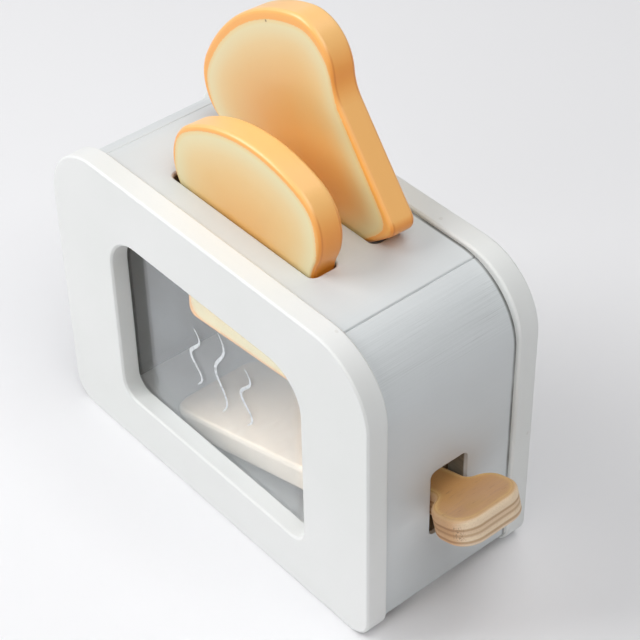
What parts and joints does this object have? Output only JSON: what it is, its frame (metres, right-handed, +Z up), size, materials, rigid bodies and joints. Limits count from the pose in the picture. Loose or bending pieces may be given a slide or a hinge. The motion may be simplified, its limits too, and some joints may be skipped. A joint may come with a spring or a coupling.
{
  "type": "toy toaster",
  "caption": "Wooden play toaster: flat rounded end panels, windowed front, slotted top over a curved box, tilting plywood side lever and loose bread slices standing in the slots.",
  "frame": {"origin": "bottom centre of the whole toy's box, on the table, lever's knob included", "axes": "+X to the lever's knob, -Y to the front with the window, +Z up"},
  "size_m": [0.2189, 0.085, 0.2124],
  "materials": {
    "white_paint": "satin white paint on board",
    "grey_paint": "satin light grey paint on board",
    "clear_plastic": "clear acrylic sheet",
    "plywood": "oiled plywood with light and dark plies",
    "steel_rod": "plain drawn rod",
    "plain_wood": "unfinished beech",
    "bread_print": "painted bread with orange crust and toasted centre"
  },
  "bodies": {
    "case": {"front_panel": "white_paint", "back_panel": "white_paint", "window_pane": "clear_plastic", "top_board": "grey_paint", "left_side": "grey_paint", "right_side": "grey_paint", "pivot_rod": "steel_rod", "front_spacer": "plain_wood", "back_spacer": "plain_wood", "front_dowels": "plain_wood", "back_dowels": "plain_wood"},
    "lever": {"lever_board": "plywood"},
    "front_toast": {"front_slice": "bread_print"},
    "back_toast": {"back_slice": "bread_print"}
  },
  "joints": [
    {"name": "lever_pivot", "type": "hinge", "parent": "case", "child": "lever", "pos_m": [0.05878, 0, 0.0442], "axis": [0, 1, 0], "range_deg": [0, 22.5]},
    {"name": "front_slice_lift", "type": "slide", "parent": "case", "child": "front_toast", "axis": [-0.1149, 0.052, 0.992], "range_m": [0, 0.08]},
    {"name": "back_slice_lift", "type": "slide", "parent": "case", "child": "back_toast", "axis": [0, 0.0506, 0.9987], "range_m": [0, 0.06]}
  ]
}
